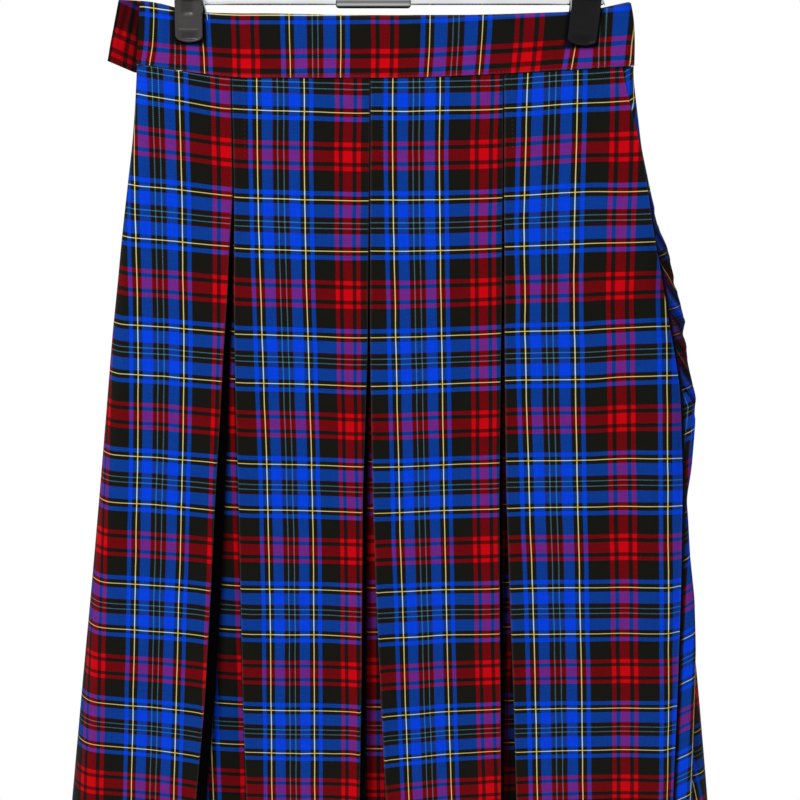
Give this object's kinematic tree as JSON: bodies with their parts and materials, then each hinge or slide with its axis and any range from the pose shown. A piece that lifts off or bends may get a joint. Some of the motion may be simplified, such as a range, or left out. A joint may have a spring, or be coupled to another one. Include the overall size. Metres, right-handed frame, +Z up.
{
  "type": "plaid skirt on a clip hanger",
  "caption": "Pleated tartan skirt hung flat by its waistband from a metal clip hanger, for wardrobes and shop rails.",
  "frame": {"origin": "inside top of the hanger's hook, where it hangs on a rail", "axes": "+Z up, -Y towards the viewer of the skirt's front, +X to the right as that viewer sees it"},
  "size_m": [0.5358, 0.0774, 0.8119],
  "materials": {
    "tartan_cloth": "woven twill tartan in blue, black and red with thin yellow and teal lines",
    "hanger_chrome": "polished",
    "clip_grey_plastic": "satin dark grey",
    "clip_black_plastic": "satin black",
    "clip_spring_steel": "plain spring steel"
  },
  "bodies": {
    "root": {"waistband_front": "tartan_cloth", "waistband_back": "tartan_cloth", "front_panel_1": "tartan_cloth", "front_panel_2": "tartan_cloth", "front_panel_3": "tartan_cloth", "front_panel_4": "tartan_cloth", "front_underlay_1": "tartan_cloth", "front_underlay_2": "tartan_cloth", "front_underlay_3": "tartan_cloth", "side_panel": "tartan_cloth", "back_panel_1": "tartan_cloth", "back_panel_2": "tartan_cloth", "back_panel_3": "tartan_cloth", "back_panel_4": "tartan_cloth", "back_underlay_1": "tartan_cloth", "back_underlay_2": "tartan_cloth", "back_underlay_3": "tartan_cloth", "hanger_hook": "hanger_chrome", "hanger_bar": "hanger_chrome", "hanger_block": "hanger_chrome", "clip_left_jaw_front": "clip_grey_plastic", "clip_left_jaw_back": "clip_grey_plastic", "clip_left_sleeve": "clip_grey_plastic", "clip_left_spring": "clip_spring_steel", "clip_right_jaw_front": "clip_black_plastic", "clip_right_jaw_back": "clip_black_plastic", "clip_right_sleeve": "clip_black_plastic", "clip_right_spring": "clip_spring_steel"}
  },
  "joints": []
}
